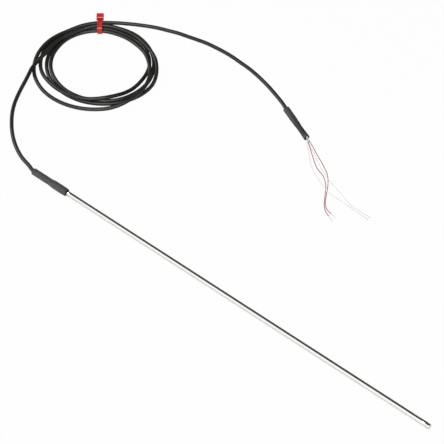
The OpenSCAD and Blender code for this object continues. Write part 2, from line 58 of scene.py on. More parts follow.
AIM = Vector((-0.06435, 0.08195, 0.0))
CAMERA_DISTANCE = 1.833
CAMERA_AZIMUTH = math.radians(40.3)
CAMERA_ELEVATION = math.radians(47.0)
SENSOR_WIDTH, LENS = 36.0, 133.8  # millimetres
FAR_SIDE = Vector((-math.sin(CAMERA_AZIMUTH), math.cos(CAMERA_AZIMUTH), 0.0))
SOFT_LIGHT = 0.36  # on matt surfaces, from all round
PALE_WALL, DARK_WALL = (1.0, 1.0, 1.0, 1), (0.056, 0.055, 0.05, 1)
FAR_WALL = (0.0, 1.0, 0.08)  # the direction of the dark wall that shiny surfaces see
PALE_UNTIL, DARK_FROM = 0.39, 0.52  # from straight away from that wall, 0, to straight at it, 1
FLOOR_HALF = 6.0
FLOOR_BELOW = 0.00005  # keeps the floor clear of what lies on it
FLOOR_TONE = (0.78, 0.78, 0.77, 1)
FLOOR_WHITE = 0.965  # how much of the floor that the camera sees is plain white


def aim(obj, target):
    obj.rotation_euler = (Vector(target) - obj.location).to_track_quat("-Z", "Y").to_euler()


def make_camera():
    data = bpy.data.cameras.new("camera")
    data.sensor_width = SENSOR_WIDTH
    data.lens = LENS
    data.clip_start = 0.05
    data.clip_end = 30.0
    cam = bpy.data.objects.new("camera", data)
    bpy.context.scene.collection.objects.link(cam)
    flat = math.cos(CAMERA_ELEVATION)
    back = Vector((-FAR_SIDE.x * flat, -FAR_SIDE.y * flat, math.sin(CAMERA_ELEVATION)))
    cam.location = AIM + back * CAMERA_DISTANCE
    aim(cam, AIM)
    bpy.context.scene.camera = cam


def area_light(name, at, size, power):
    data = bpy.data.lights.new(name, "AREA")
    data.shape = "RECTANGLE"
    data.size, data.size_y = size
    data.energy = power
    lamp = bpy.data.objects.new(name, data)
    bpy.context.scene.collection.objects.link(lamp)
    lamp.location = at
    aim(lamp, AIM)


def make_world():
    """Even white light; shiny surfaces see a white room whose far wall is dark."""
    world = bpy.data.worlds.new("room")
    bpy.context.scene.world = world
    world.use_nodes = True
    tree = world.node_tree
    tree.nodes.clear()
    out = tree.nodes.new("ShaderNodeOutputWorld")
    coords = tree.nodes.new("ShaderNodeTexCoord")

    def dot(direction):
        node = tree.nodes.new("ShaderNodeVectorMath")
        node.operation = "DOT_PRODUCT"
        tree.links.new(coords.outputs["Generated"], node.inputs[0])
        node.inputs[1].default_value = direction
        return node.outputs["Value"]

    def ramp(value, stops):
        node = tree.nodes.new("ShaderNodeValToRGB")
        node.color_ramp.interpolation = "EASE"
        while len(node.color_ramp.elements) < len(stops):
            node.color_ramp.elements.new(0.5)
        for element, (at, colour) in zip(node.color_ramp.elements, stops):
            element.position = at
            element.color = colour
        tree.links.new(value, node.inputs["Fac"])
        return node.outputs["Color"]

    def background(colour, strength):
        node = tree.nodes.new("ShaderNodeBackground")
        if isinstance(colour, tuple):
            node.inputs["Color"].default_value = colour
        else:
            tree.links.new(colour, node.inputs["Color"])
        node.inputs["Strength"].default_value = strength
        return node.outputs["Background"]

    def mixed(factor, a, b):
        node = tree.nodes.new("ShaderNodeMixShader")
        tree.links.new(factor, node.inputs["Fac"])
        tree.links.new(a, node.inputs[1])
        tree.links.new(b, node.inputs[2])
        return node.outputs["Shader"]

    facing = tree.nodes.new("ShaderNodeMath")
    facing.operation = "MULTIPLY_ADD"
    tree.links.new(dot(FAR_WALL), facing.inputs[0])
    facing.inputs[1].default_value = 0.5
    facing.inputs[2].default_value = 0.5
    walls = [(0.0, PALE_WALL), (PALE_UNTIL, PALE_WALL), (DARK_FROM, DARK_WALL), (1.0, DARK_WALL)]
    studio = background(ramp(facing.outputs["Value"], walls), 1.0)
    light_path = tree.nodes.new("ShaderNodeLightPath")
    soft = background((1, 1, 1, 1), SOFT_LIGHT)
    white = background((1, 1, 1, 1), 1.0)
    seen = mixed(light_path.outputs["Is Glossy Ray"], soft, studio)
    shown = mixed(light_path.outputs["Is Camera Ray"], seen, white)
    tree.links.new(shown, out.inputs["Surface"])


def make_floor():
    """A pale floor that the camera sees nearly white and that still takes a faint shadow."""
    mesh = bpy.data.meshes.new("floor")
    corners = [(x * FLOOR_HALF, y * FLOOR_HALF, 0) for x, y in ((-1, -1), (1, -1), (1, 1), (-1, 1))]
    mesh.from_pydata(corners, [], [(0, 1, 2, 3)])
    floor = bpy.data.objects.new("floor", mesh)
    bpy.context.scene.collection.objects.link(floor)
    floor.location.z = -FLOOR_BELOW
    mat = bpy.data.materials.new("floor")
    mat.use_nodes = True
    tree = mat.node_tree
    tree.nodes.clear()
    out = tree.nodes.new("ShaderNodeOutputMaterial")
    diffuse = tree.nodes.new("ShaderNodeBsdfDiffuse")
    diffuse.inputs["Color"].default_value = FLOOR_TONE
    glow = tree.nodes.new("ShaderNodeEmission")
    glow.inputs["Strength"].default_value = 1.0
    paths = tree.nodes.new("ShaderNodeLightPath")
    share = tree.nodes.new("ShaderNodeMath")
    share.operation = "MULTIPLY"
    tree.links.new(paths.outputs["Is Camera Ray"], share.inputs[0])
    share.inputs[1].default_value = FLOOR_WHITE
    mix = tree.nodes.new("ShaderNodeMixShader")
    tree.links.new(share.outputs["Value"], mix.inputs["Fac"])
    tree.links.new(diffuse.outputs["BSDF"], mix.inputs[1])
    tree.links.new(glow.outputs["Emission"], mix.inputs[2])
    tree.links.new(mix.outputs["Shader"], out.inputs["Surface"])
    mesh.materials.append(mat)


make_camera()
bpy.context.scene.view_settings.view_transform = "Standard"
make_world()
make_floor()
area_light("key", (0.5, -0.95, 1.9), (1.4, 1.0), 28.0)
area_light("side", (-1.95, -0.1, 0.95), (0.8, 0.8), 8.0)

# ---- Paths ----

sleeve_lo, sleeve_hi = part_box("transition_sleeve")
GLAND_X = sleeve_lo.x / MM
MOUTH_X = sleeve_hi.x / MM
AXIS_Z = (sleeve_lo.z + sleeve_hi.z) / 2 / MM
TIP_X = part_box("end_plug")[1].x / MM
SLEEVE_L, END_SLEEVE_L = 52.0, 54.0
JACKET_GRIP, END_GRIP = 9.0, 27.0  # of the cable in the transition sleeve and in the end sleeve
END_SLEEVE_AT, END_SLEEVE_TURN = (-122.0, 267.5), math.radians(-25)
END_AXIS_Z = 4.15
CABLE_D, WIRE_D, STRAND_D = 4.7, 0.9, 0.5
COIL_AT, TIE_TURN = (-347.5, 181.0), 130.0

TAIL_ROUTE = [
    (-289, 4, 1.6), (-301.5, 7.5, 0.6), (-313.5, 12.5, 0), (-325.5, 19, 0), (-336, 26, 0),
    (-346, 34, 0), (-355, 42.5, 0), (-363.5, 51.5, 0), (-371, 61, 0), (-377.5, 71, 0),
    (-383.5, 82, 0), (-389, 93.5, 0), (-393.5, 105, 0), (-396.5, 113, 0),
]
LEAD_ROUTE = [
    (-362, 263.5, 3.3), (-354.5, 268.5, 2.6), (-346, 274, 1.8), (-335, 280, 0.8),
    (-323, 285, 0.1), (-311, 289.5, 0), (-298, 292.5, 0), (-285, 295.5, 0),
    (-271.5, 298, 0), (-258.5, 299, 0), (-245, 299.5, 0), (-231.5, 299, 0),
    (-218, 297.5, 0), (-204.5, 296, 0), (-191, 293.5, 0), (-177.5, 290, 0),
    (-164.5, 286, 0), (-151.5, 281, 0.3), (-140.5, 276.5, 0.9), (-130.5, 272, 1.5),
]
RED_1_ROUTE = [
    (-62, 240, 2.9), (-49, 233, 1.1), (-34, 225, 0), (-20, 215.5, 0),
    (-9.5, 203, 0), (-1, 189, 0), (7.5, 176.5, 0), (13.5, 172, 0), (20.5, 170, 0),
]
RED_2_ROUTE = [
    (-65, 238.5, 2.6), (-52, 228.5, 0.7), (-35, 216, 0), (-22, 210.5, 0),
    (-11.5, 201.5, 0), (-3, 189.5, 0), (7, 175, 0), (13.5, 169, 0), (20.5, 165.5, 0),
]
WHITE_1_ROUTE = [
    (-63.5, 238.5, 1.6), (-50, 230.5, 0.8), (-37, 222, 0.5), (-25, 215, 0.6),
    (-15, 210, 1.2), (-5.5, 206.5, 0.5), (9.5, 202, 0), (28.5, 195, 0), (49.5, 193.5, 0),
]
WHITE_2_ROUTE = [
    (-66, 237, 1.5), (-54, 225, 0.3), (-39, 212, 0), (-25, 204, 0),
    (-12.5, 197.5, 0.6), (-5.5, 194.5, 1.3), (1.5, 193, 0.6), (19.5, 192.5, 0), (48.5, 190, 0),
]
# (angle in degrees, radius) of the arcs that lead into the coil and out of it
ARC_IN = [
    (230, 80.5), (225, 76.5), (219, 72.5), (213, 69.2), (205, 66),
    (195, 64.8), (180, 64.5), (160, 64.4), (145, 65.5),
]
ARC_OUT = [(130, 72.2), (120, 74.3), (110, 78.3)]
# The turns run clockwise from the tie: the radius of each at every 30 degrees
STATIONS_A_TURN = 12
TURNS = [
    (67, 67, 66, 72, 77, 74, 68, 63, 60.5, 61.5, 64.5, 68.5),
    (67, 65, 64.5, 63.5, 61.5, 63, 65.5, 65, 65, 69, 72, 73),
    (71.7, 72, 70, 69, 70, 68.5, 63.5, 58.5, 55.5, 56.5, 59.5, 63.5),
    (62.2, 60.5, 59.5, 63, 72, 78.5, 78.5, 77.5, 77, 76.5, 73, 70),
]
TIE_HEIGHTS = [8.3, 3.6, 3.6, 3.6, 8.3]  # of the cable's axis each time it passes the tie
TIE_HOLDS = 5  # degrees to either side of the tie
# What lies over what: a stretch with a higher rank crosses over one with a lower rank
TOP_RANK, TURN_RANKS = 5.0, (1.0, 4.0, 3.0, 4.2)
TOP_UNTIL, TOP_FROM = 0.29, 0.02  # turns after the first passing of the tie and before the last

LAY_ROUNDS, SETTLE_ROUNDS, SMOOTHINGS = 12, 120, 3
EDGE_SHARE = 0.14  # of a diameter: two stretches that only brush are lifted gradually


def from_end_sleeve(u, v, z):
    c, s = math.cos(END_SLEEVE_TURN), math.sin(END_SLEEVE_TURN)
    return (END_SLEEVE_AT[0] + u * c - v * s, END_SLEEVE_AT[1] + u * s + v * c, z)


def polar(radius, degrees):
    a = math.radians(degrees)
    return COIL_AT[0] + radius * math.cos(a), COIL_AT[1] + radius * math.sin(a)


def lifted(route, radius):
    return [(x, y, z + radius) for x, y, z in route]


def spline(points, step):
    """Catmull-Rom curve through the points, with a point about every step along it."""
    pts = [Vector(p) for p in points]
    pts = [pts[0] * 2 - pts[1], *pts, pts[-1] * 2 - pts[-2]]
    out = []
    for i in range(1, len(pts) - 2):
        a, b, c, d = pts[i - 1 : i + 3]
        ta = max((b - a).length, 1e-6) ** 0.5
        tb = max((c - b).length, 1e-6) ** 0.5
        tc = max((d - c).length, 1e-6) ** 0.5
        m1 = (b - a) / ta - (c - a) / (ta + tb) + (c - b) / tb
        m2 = (c - b) / tb - (d - b) / (tb + tc) + (d - c) / tc
        m1, m2 = m1 * tb, m2 * tb
        n = max(1, round((c - b).length / step))
        for k in range(n):
            t = k / n
            out.append(
                b * (2 * t**3 - 3 * t**2 + 1) + m1 * (t**3 - 2 * t**2 + t)
                + c * (3 * t**2 - 2 * t**3) + m2 * (t**3 - t**2)
            )
    out.append(pts[-2])
    return out


def along(points):
    """Distance along the points from the first one."""
    p = np.array([tuple(q) for q in points])
    return np.concatenate([[0], np.cumsum(np.linalg.norm(np.diff(p, axis=0), axis=1))])


def coil_points():
    """The tied coil: in on the tail's side, four times round from the tie, and out. Each point has
    its place, its lowest height, its rank and whether the tie holds it."""
    stations = [(a + 360, r) for a, r in ARC_IN]
    pitch = 360 / STATIONS_A_TURN
    for turn, radii in enumerate(TURNS):
        stations += [(TIE_TURN + 360 - 360 * turn - pitch * k, r) for k, r in enumerate(radii)]
    last = TIE_TURN + 360 - 360 * len(TURNS)
    stations += [(a - TIE_TURN + last, r) for a, r in ARC_OUT]
    curve = spline([(a, r, 0) for a, r in stations], 1.0)
    angles = np.array([p[0] for p in curve])
    radii = np.array([p[1] for p in curve])
    order = np.argsort(-angles)
    wanted = np.arange(stations[0][0], stations[-1][0] - 0.01, -2.0)
    lead_rise = LEAD_ROUTE[0][2] + CABLE_D / 2 - TIE_HEIGHTS[-1]
    points = []
    for a, r in zip(wanted, np.interp(-wanted, -angles[order], radii[order])):
        done = (TIE_TURN + 360 - a) / 360
        on_top = done < TOP_UNTIL or done > len(TURNS) - TOP_FROM
        rank = TOP_RANK if on_top else TURN_RANKS[int(done)]
        nearest = round(done)
        tied = abs(done - nearest) * 360 < TIE_HOLDS and 0 <= nearest <= len(TURNS)
        low = TIE_HEIGHTS[nearest] if tied else CABLE_D / 2
        if done > len(TURNS):
            low = TIE_HEIGHTS[-1] + lead_rise * (done - len(TURNS)) * STATIONS_A_TURN
        points.append((*polar(r, a), low, rank, tied))
    return points


def hump(x, length):
    """How far a cord has come down, from 0 to 1, at a distance x from its highest point."""
    t = np.clip(np.abs(x) / length, 0, 1)
    return (1 - np.cos(math.pi * t)) / 2


def lift_over(p, other, touch):
    """How high each point has to be to pass over another cord whose axis keeps touch away."""
    o = np.array([tuple(q) for q in other])
    apart = np.linalg.norm(p[:, None, :2] - o[None, :, :2], axis=2)
    clear = o[None, :, 2] + np.sqrt(np.clip(touch**2 - apart**2, 0, None))
    return np.where(apart < touch, clear, 0).max(axis=1)


def laid(points, diameter, rank=None, others=(), reach=7.0):
    """Lifts each stretch of a cord over what it lies on, in long low humps that reach so many
    diameters to either side. others are the (path, diameter) of earlier cords."""
    p = np.array([tuple(q) for q in points])
    low = p[:, 2].copy()
    rank = np.zeros(len(p)) if rank is None else np.array(rank)
    s = along(points)
    gap = np.abs(s[:, None] - s[None, :])
    flat = np.linalg.norm(p[:, None, :2] - p[None, :, :2], axis=2)
    over = (rank[:, None] > rank[None, :]) & (gap > 4 * diameter) & (flat < diameter)
    rise = np.sqrt(np.clip(diameter**2 - flat**2, 0, None))
    share = np.clip((diameter - flat) / (EDGE_SHARE * diameter), 0, 1)
    spread = reach * diameter
    within = gap < spread
    stays = 1 - hump(gap, spread)
    z = low.copy()
    for _ in range(LAY_ROUNDS):
        wanted = (z[None, :] + rise - low[:, None]) * share + low[:, None]
        need = np.where(over, wanted, 0).max(axis=1)
        for other, other_d in others:
            need = np.maximum(need, lift_over(p, other, (diameter + other_d) / 2))
        need = np.maximum(need, low)
        humps = np.where(within, (need[None, :] - diameter / 2) * stays, 0).max(axis=1)
        z_new = np.maximum(diameter / 2 + humps, need)
        if np.abs(z_new - z).max() < 0.01:
            break
        z = z_new
    p[:, 2] = z_new
    return p


def settled(p, diameter, held):
    """Lets stretches of a laid cord that press into each other move apart, smoothly and above the
    floor. The held points stay where they are."""
    s = along([tuple(q) for q in p])
    home = p.copy()
    free = (1 - np.array(held, float))[:, None]
    gap = np.abs(s[:, None] - s[None, :])
    flat = np.linalg.norm(p[:, None, :2] - p[None, :, :2], axis=2)
    i, j = np.nonzero(np.triu((gap > 4 * diameter) & (flat < 1.8 * diameter)))
    for _ in range(SETTLE_ROUNDS):
        away = p[i] - p[j]
        apart = np.linalg.norm(away, axis=1)
        push = np.clip(1.01 * diameter - apart, 0, None) / 2
        move = away / apart[:, None] * push[:, None]
        total, count = np.zeros_like(p), np.zeros(len(p))
        np.add.at(total, i, move)
        np.add.at(total, j, -move)
        np.add.at(count, i, push > 0)
        np.add.at(count, j, push > 0)
        p = p + free * total / np.maximum(count, 1)[:, None]
        shift = p - home
        for _ in range(SMOOTHINGS):
            shift[1:-1] = (shift[:-2] + 2 * shift[1:-1] + shift[2:]) / 4
        p = home + free * shift
        p[:, 2] = np.maximum(p[:, 2], diameter / 2)
    return p


# ---- Meshes ----


def link(mesh, name):
    obj = bpy.data.objects.new(name, mesh)
    bpy.context.scene.collection.objects.link(obj)
    mesh.polygons.foreach_set("use_smooth", [True] * len(mesh.polygons))
    return obj


def frames(points):
    """Side and top of a path at each of its points, where no part of it is upright."""
    n = len(points)
    out = []
    for i in range(n):
        a, b = points[max(i - 1, 0)], points[min(i + 1, n - 1)]
        t = (b - a).normalized()
        side = Vector((0, 0, 1)).cross(t).normalized()
        out.append((side, t.cross(side)))
    return out


def sweep(name, points, outline):
    """Closed mesh that follows the points, in mm, with the same [(side, top), ...] outline at each.
    Its UV map holds the distance along the path in metres and the turn round it."""
    rows, s = [], along(points)
    for p, (side, top) in zip(points, frames(points)):
        rows.append([p + side * u + top * v for u, v in outline])
    m = len(outline)
    verts = [tuple(q * MM) for row in rows for q in row]
    faces, uvs = [], []
    for i in range(len(rows) - 1):
        for k in range(m):
            j = (k + 1) % m
            faces.append((i * m + k, i * m + j, (i + 1) * m + j, (i + 1) * m + k))
            u0, u1 = s[i] * MM, s[i + 1] * MM
            uvs += [(u0, k / m), (u0, (k + 1) / m), (u1, (k + 1) / m), (u1, k / m)]
    faces.append(tuple(range(m - 1, -1, -1)))
    faces.append(tuple(range((len(rows) - 1) * m, len(rows) * m)))
    uvs += [(s[0] * MM, k / m) for k in range(m - 1, -1, -1)]
    uvs += [(s[-1] * MM, k / m) for k in range(m)]
    mesh = bpy.data.meshes.new(name)
    mesh.from_pydata(verts, [], faces)
    layer = mesh.uv_layers.new(name="along")
    for loop, uv in zip(layer.data, uvs):
        loop.uv = uv
    mesh.validate()
    obj = link(mesh, name)
    for polygon in mesh.polygons[-2:]:
        polygon.use_smooth = False
    return obj


def round_section(radius, sides):
    turns = [2 * math.pi * (k + 0.5) / sides for k in range(sides)]
    return [(radius * math.cos(a), radius * math.sin(a)) for a in turns]


def turned(name, at, turn, profile, sides=96, wobble=lambda u, a: 0.0):
    """Surface of revolution about an axis that lies flat, from its (along, radius) profile in mm.
    wobble(along, angle) is added to the radius."""
    mesh = bpy.data.meshes.new(name)
    verts, faces, uvs = [], [], []
    c, s = math.cos(turn), math.sin(turn)
    for u, r in profile:
        for k in range(sides):
            a = 2 * math.pi * k / sides
            rr = r + (wobble(u, a) if r > 0 else 0)
            v, w = rr * math.cos(a), rr * math.sin(a)
            x, y, z = at[0] + u * c - v * s, at[1] + u * s + v * c, at[2] + w
            verts.append((x * MM, y * MM, z * MM))
    for i in range(len(profile) - 1):
        for k in range(sides):
            j = (k + 1) % sides
            faces.append((i * sides + k, i * sides + j, (i + 1) * sides + j, (i + 1) * sides + k))
            u0, u1 = profile[i][0] * MM, profile[i + 1][0] * MM
            uvs += [(u0, k / sides), (u0, (k + 1) / sides), (u1, (k + 1) / sides), (u1, k / sides)]
    mesh.from_pydata(verts, [], faces)
    layer = mesh.uv_layers.new(name="along")
    for loop, uv in zip(layer.data, uvs):
        loop.uv = uv
    bm = bmesh.new()
    bm.from_mesh(mesh)
    bmesh.ops.remove_doubles(bm, verts=bm.verts, dist=1e-7)
    bmesh.ops.recalc_face_normals(bm, faces=bm.faces)
    bm.to_mesh(mesh)
    bm.free()
    return link(mesh, name)


def eased(a, b, t):
    return a + (b - a) * (1 - math.cos(math.pi * t)) / 2


def blended(stations, step=0.8):
    """Outline through (along, radius) stations, easing from one radius to the next."""
    out = []
    for (ua, ra), (ub, rb) in zip(stations, stations[1:]):
        n = max(1, math.ceil(abs(ub - ua) / step))
        out += [(ua + (ub - ua) * k / n, eased(ra, rb, k / n)) for k in range(n)]
    out.append(stations[-1])
    return out


# ---- Materials ----


class Shader:
    """A material under construction: its Principled shader and short ways to add nodes."""

    def __init__(self, name, colour, roughness, metallic=0.0):
        self.mat = bpy.data.materials.new(name)
        self.mat.use_nodes = True
        self.mat.diffuse_color = (*colour, 1)
        self.tree = self.mat.node_tree
        self.bsdf = self.tree.nodes["Principled BSDF"]
        self.bsdf.inputs["Base Color"].default_value = (*colour, 1)
        self.bsdf.inputs["Roughness"].default_value = roughness
        self.bsdf.inputs["Metallic"].default_value = metallic
        self.bumps = None

    def node(self, kind, **values):
        n = self.tree.nodes.new(kind)
        for key, value in values.items():
            setattr(n, key, value)
        return n

    def join(self, a, b):
        self.tree.links.new(a, b)

    def coords(self, scale=(1, 1, 1), which="Object"):
        source = self.node("ShaderNodeTexCoord")
        mapping = self.node("ShaderNodeMapping")
        mapping.inputs["Scale"].default_value = scale
        self.join(source.outputs[which], mapping.inputs["Vector"])
        return mapping.outputs["Vector"]

    def noise(self, scale, detail=3.0, rough=0.55, stretch=(1, 1, 1), which="Object"):
        n = self.node("ShaderNodeTexNoise")
        n.inputs["Scale"].default_value = scale
        n.inputs["Detail"].default_value = detail
        n.inputs["Roughness"].default_value = rough
        self.join(self.coords(stretch, which), n.inputs["Vector"])
        return n.outputs["Fac"]

    def range(self, value, low, high, out_low, out_high):
        n = self.node("ShaderNodeMapRange")
        n.inputs["From Min"].default_value = low
        n.inputs["From Max"].default_value = high
        n.inputs["To Min"].default_value = out_low
        n.inputs["To Max"].default_value = out_high
        self.join(value, n.inputs["Value"])
        return n.outputs["Result"]

    def ramp(self, value, stops):
        n = self.node("ShaderNodeValToRGB")
        while len(n.color_ramp.elements) < len(stops):
            n.color_ramp.elements.new(0.5)
        for element, (at, colour) in zip(n.color_ramp.elements, stops):
            element.position = at
            element.color = (*colour, 1)
        self.join(value, n.inputs["Fac"])
        return n.outputs["Color"]

    def colour(self, value, stops):
        self.join(self.ramp(value, stops), self.bsdf.inputs["Base Color"])

    def uv(self):
        """The distance along a piece in metres, and the turn round it from 0 to 1."""
        n = self.node("ShaderNodeSeparateXYZ")
        self.join(self.coords(which="UV"), n.inputs["Vector"])
        return n.outputs["X"], n.outputs["Y"]

    def toned(self, colour, value, stops):
        """The colour times a factor that follows the stops."""
        n = self.node("ShaderNodeVectorMath", operation="MULTIPLY")
        self.join(colour, n.inputs[0])
        self.join(self.ramp(value, [(at, (k, k, k)) for at, k in stops]), n.inputs[1])
        return n.outputs["Vector"]

    def roughness(self, value, out_low, out_high, low=0.3, high=0.7):
        self.join(self.range(value, low, high, out_low, out_high), self.bsdf.inputs["Roughness"])

    def bump(self, value, strength, distance):
        n = self.node("ShaderNodeBump")
        n.inputs["Strength"].default_value = strength
        n.inputs["Distance"].default_value = distance
        self.join(value, n.inputs["Height"])
        if self.bumps is not None:
            self.join(self.bumps, n.inputs["Normal"])
        self.bumps = n.outputs["Normal"]
        self.join(self.bumps, self.bsdf.inputs["Normal"])

    def set(self, **values):
        for key, value in values.items():
            self.bsdf.inputs[key.replace("_", " ")].default_value = value


def steel(name, colour, roughness, stretch=(6, 900, 900)):
    """Polished steel: fine marks, slight change of tone, a little unevenness of polish. The marks
    are long on the drawn sheath and short on the cap."""
    s = Shader(name, colour, roughness, metallic=1.0)
    marks = s.noise(1.0, detail=4, rough=0.6, stretch=stretch)
    cloud = s.noise(14.0, detail=2)
    tone = [tuple(c * k for c in colour) for k in (0.93, 1.0, 1.03)]
    s.colour(marks, [(0.3, tone[0]), (0.5, tone[1]), (0.75, tone[2])])
    s.roughness(cloud, roughness * 0.8, roughness * 1.3)
    s.bump(marks, 0.12, 0.00003)
    return s


def jacket(name):
    """Extruded black jacket: satin, with faint draw lines, fine grain and rubbed places."""
    s = Shader(name, (0.021, 0.0204, 0.0196), 0.38)
    rub = s.noise(60.0, detail=4, rough=0.65)
    low, mid, high = (0.0158, 0.015, 0.0142), (0.0265, 0.0248, 0.0232), (0.051, 0.047, 0.042)
    s.colour(rub, [(0.35, low), (0.6, mid), (0.85, high)])
    s.roughness(s.noise(140.0, detail=3), 0.3, 0.48)
    s.bump(s.noise(1.0, detail=2, stretch=(30, 40, 1), which="UV"), 0.25, 0.00008)
    s.bump(s.noise(2600.0, detail=2), 0.12, 0.00002)
    s.set(Specular_IOR_Level=0.5)
    return s


# (place, factor) of the sleeves' tone: once round, with painted shade on top and painted
# light low on the near side, and from one end to the other
PAINTED_LIGHT_ROUND = [
    (0.0, 0.74), (0.26, 0.62), (0.32, 0.64), (0.38, 0.77), (0.44, 1.0), (0.6, 1.0), (1.0, 0.74),
]
EVEN = [(0.0, 1.0), (1.0, 1.0)]
# the end sleeve's tone: darker from about a third of the way along, darkest from past halfway to
# just before its mouth
DARK_BAND_TO_MOUTH = [
    (0.0, 1.0), (0.2, 0.95), (0.3, 0.82), (0.45, 0.76),
    (0.56, 0.56), (0.88, 0.5), (0.95, 1.0), (1.0, 1.0),
]


def shrunk(name, length, length_tones):
    """Shrunk tubing: matte, finely pebbled, with soft lengthwise flow and a dusty bloom. Its tone
    follows the stops from one end to the other, and round it has painted shade on top and
    painted light low on the near side."""
    grey = (0.103, 0.103, 0.1035)
    s = Shader(name, grey, 0.62)
    bloom = s.noise(420.0, detail=5, rough=0.7)
    stops = [(at, tuple(c * k for c in grey)) for at, k in ((0.34, 0.68), (0.5, 1.0), (0.66, 1.38))]
    distance, turn = s.uv()
    tone = s.toned(s.ramp(bloom, stops), s.range(distance, 0.0, length, 0.0, 1.0), length_tones)
    # painted shade and light round the sleeve: darker on top, lighter low on the near side
    s.join(s.toned(tone, turn, PAINTED_LIGHT_ROUND), s.bsdf.inputs["Base Color"])
    s.roughness(s.noise(300.0, detail=3), 0.52, 0.72)
    s.bump(s.noise(1.0, detail=3, stretch=(60, 14, 1), which="UV"), 0.5, 0.0002)
    s.bump(s.noise(1900.0, detail=3, rough=0.6), 0.35, 0.00004)
    s.set(Specular_IOR_Level=0.35)
    return s


def nylon(name):
    """Moulded red nylon: glossy, faintly translucent, with soft flow marks."""
    low, mid, high = (0.58, 0.018, 0.02), (0.7, 0.03, 0.03), (0.8, 0.06, 0.05)
    s = Shader(name, mid, 0.26)
    flow = s.noise(220.0, detail=3, rough=0.5)
    s.colour(flow, [(0.3, low), (0.55, mid), (0.8, high)])
    s.roughness(s.noise(500.0, detail=2), 0.24, 0.38)
    s.bump(s.noise(900.0, detail=2), 0.15, 0.00004)
    s.set(Subsurface_Weight=0.15, Subsurface_Scale=0.0012)
    s.set(Specular_IOR_Level=0.55, Coat_Weight=0.15)
    s.bsdf.inputs["Subsurface Radius"].default_value = (1.0, 0.3, 0.2)
    return s


def insulation(name, low, mid, high):
    """Extruded insulation: smooth and slightly glossy, with faint draw lines and finger marks."""
    s = Shader(name, mid, 0.36)
    s.colour(s.noise(160.0, detail=3, rough=0.6), [(0.3, low), (0.5, mid), (0.75, high)])
    s.roughness(s.noise(420.0, detail=2), 0.3, 0.46)
    s.bump(s.noise(1.0, detail=2, stretch=(80, 20, 1), which="UV"), 0.2, 0.00004)
    s.set(Subsurface_Weight=0.1, Subsurface_Scale=0.0004, Specular_IOR_Level=0.3)
    return s


def tinned(name):
    """Tinned strands: soft bright metal with dull spots."""
    low, mid, high = (0.7, 0.685, 0.66), (0.86, 0.85, 0.83), (0.94, 0.935, 0.92)
    s = Shader(name, mid, 0.4, metallic=1.0)
    s.colour(s.noise(1500.0, detail=3), [(0.3, low), (0.55, mid), (0.8, high)])
    s.roughness(s.noise(2500.0, detail=2), 0.34, 0.55)
    s.bump(s.noise(4000.0, detail=2), 0.2, 0.00002)
    return s


def plain_inner(name, colour, roughness, metallic, grain):
    """Pieces sealed inside: each still has the grain and tone of its own stuff."""
    s = Shader(name, colour, roughness, metallic)
    tone = [tuple(min(1, c * k) for c in colour) for k in (0.85, 1.0, 1.1)]
    s.colour(s.noise(grain, detail=4), [(0.3, tone[0]), (0.5, tone[1]), (0.75, tone[2])])
    s.roughness(s.noise(grain * 2, detail=2), roughness * 0.8, min(1, roughness * 1.2))
    s.bump(s.noise(grain * 3, detail=3), 0.3, 0.00003)
    return s


def paint(obj, shader):
    obj.data.materials.clear()
    obj.data.materials.append(shader.mat)


# ---- Cable ----

cable_jacket = jacket("jacket_black")
sleeve_skin = shrunk("sleeve_grey", SLEEVE_L * MM, EVEN)
end_skin = shrunk("sleeve_grey_dark_band", END_SLEEVE_L * MM, DARK_BAND_TO_MOUTH)
HELD_NEAR_SLEEVE = 8.0  # the cable keeps its place this far outside either sleeve


def make_cable_path():
    """From inside the transition sleeve, round the coil, to inside the end sleeve."""
    coil = coil_points()
    inner = [(GLAND_X + JACKET_GRIP, 0, AXIS_Z), (GLAND_X, 0, AXIS_Z)]
    outer = [from_end_sleeve(0, 0, END_AXIS_Z), from_end_sleeve(END_GRIP, 0, END_AXIS_Z)]
    before = spline(inner + lifted(TAIL_ROUTE, CABLE_D / 2) + [coil[0][:3]], 2.0)[:-1]
    after = spline([coil[-1][:3]] + lifted(LEAD_ROUTE, CABLE_D / 2) + outer, 2.0)[1:]
    points = before + [c[:3] for c in coil] + after
    rank = [TOP_RANK] * len(before) + [c[3] for c in coil] + [TOP_RANK] * len(after)
    p = laid(points, CABLE_D, rank)
    held = [bool(q[0] > GLAND_X - HELD_NEAR_SLEEVE) for q in before]
    held += [c[4] for c in coil]
    held += [bool(q[0] > END_SLEEVE_AT[0] - HELD_NEAR_SLEEVE) for q in after]
    p = settled(p, CABLE_D, held)
    return spline([tuple(q) for q in p], 2.0)


cable_path = make_cable_path()
cable = sweep("cable", cable_path, round_section(CABLE_D / 2, 20))
paint(cable, cable_jacket)
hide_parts("cable_tail", "cable_coil", "cable_lead")
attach(cable, "root")

# ---- Wires ----

reds = insulation("core_red", (0.26, 0.036, 0.032), (0.36, 0.052, 0.046), (0.46, 0.08, 0.07))
whites = insulation("core_white", (0.88, 0.875, 0.865), (0.94, 0.935, 0.93), (0.97, 0.967, 0.96))
strands = tinned("strands_tinned")
WIRE_PITCH = 1.1


def wire_path(route, v, w, others):
    half = WIRE_PITCH / 2
    start = [from_end_sleeve(u, v * half, END_AXIS_Z + w * half) for u in (END_GRIP, END_SLEEVE_L)]
    path = spline(start + lifted(route, WIRE_D / 2), 1.5)
    return [Vector(q) for q in laid(path, WIRE_D, others=others, reach=13)]


STRAND_L, STRAND_LAY = 9.0, 7.0  # past the insulation, and for one turn round the middle one
STRAND_HIDDEN = 1.0  # inside the insulation
STRAND_UNEVEN, STRAND_LOOSENS = 0.05, 0.35


